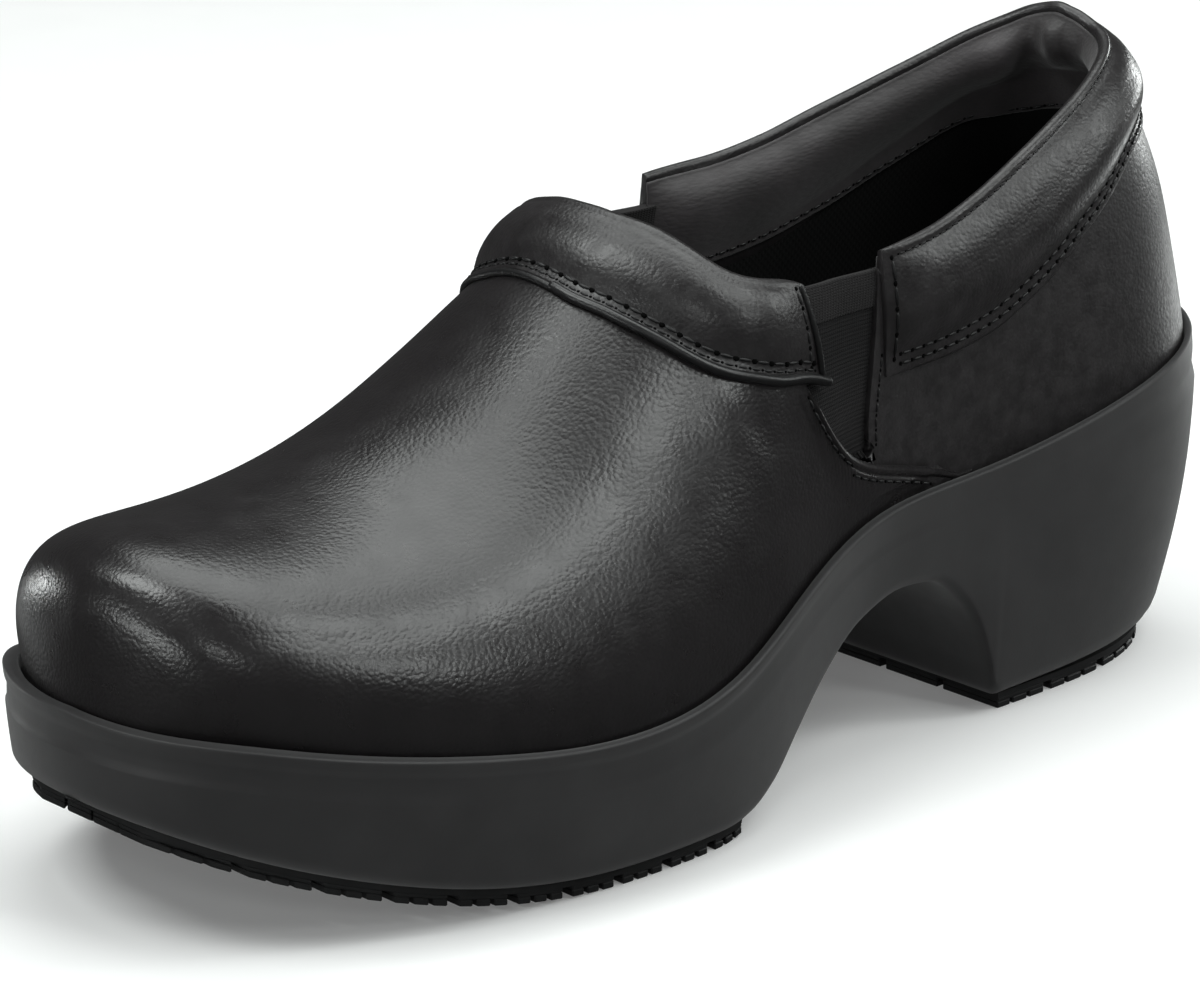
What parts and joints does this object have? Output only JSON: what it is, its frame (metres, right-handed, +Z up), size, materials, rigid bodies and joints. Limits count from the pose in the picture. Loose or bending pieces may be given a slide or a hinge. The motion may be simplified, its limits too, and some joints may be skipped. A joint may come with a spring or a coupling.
{
  "type": "chef clog",
  "caption": "Closed-back slip-on kitchen clog for the left foot: leather upper with padded throat band and collar, side elastics, platform sole with blocked rubber tread.",
  "frame": {"origin": "on the floor under the middle of the shoe's box", "axes": "+Z up, +Y from toe to heel, +X towards the shoe's outer (lateral) side"},
  "size_m": [0.1016, 0.262, 0.1199],
  "materials": {
    "leather": "semi-gloss smooth grain",
    "elastic": "matte ribbed",
    "lining": "matte knitted textile",
    "sole": "matte moulded",
    "outsole": "matte"
  },
  "bodies": {
    "root": {"sole": "sole", "outsole_forefoot": "outsole", "outsole_heel": "outsole", "upper": "leather", "gore_lateral": "elastic", "gore_medial": "elastic", "throat_band": "leather", "collar": "leather", "insole": "lining"}
  },
  "joints": []
}
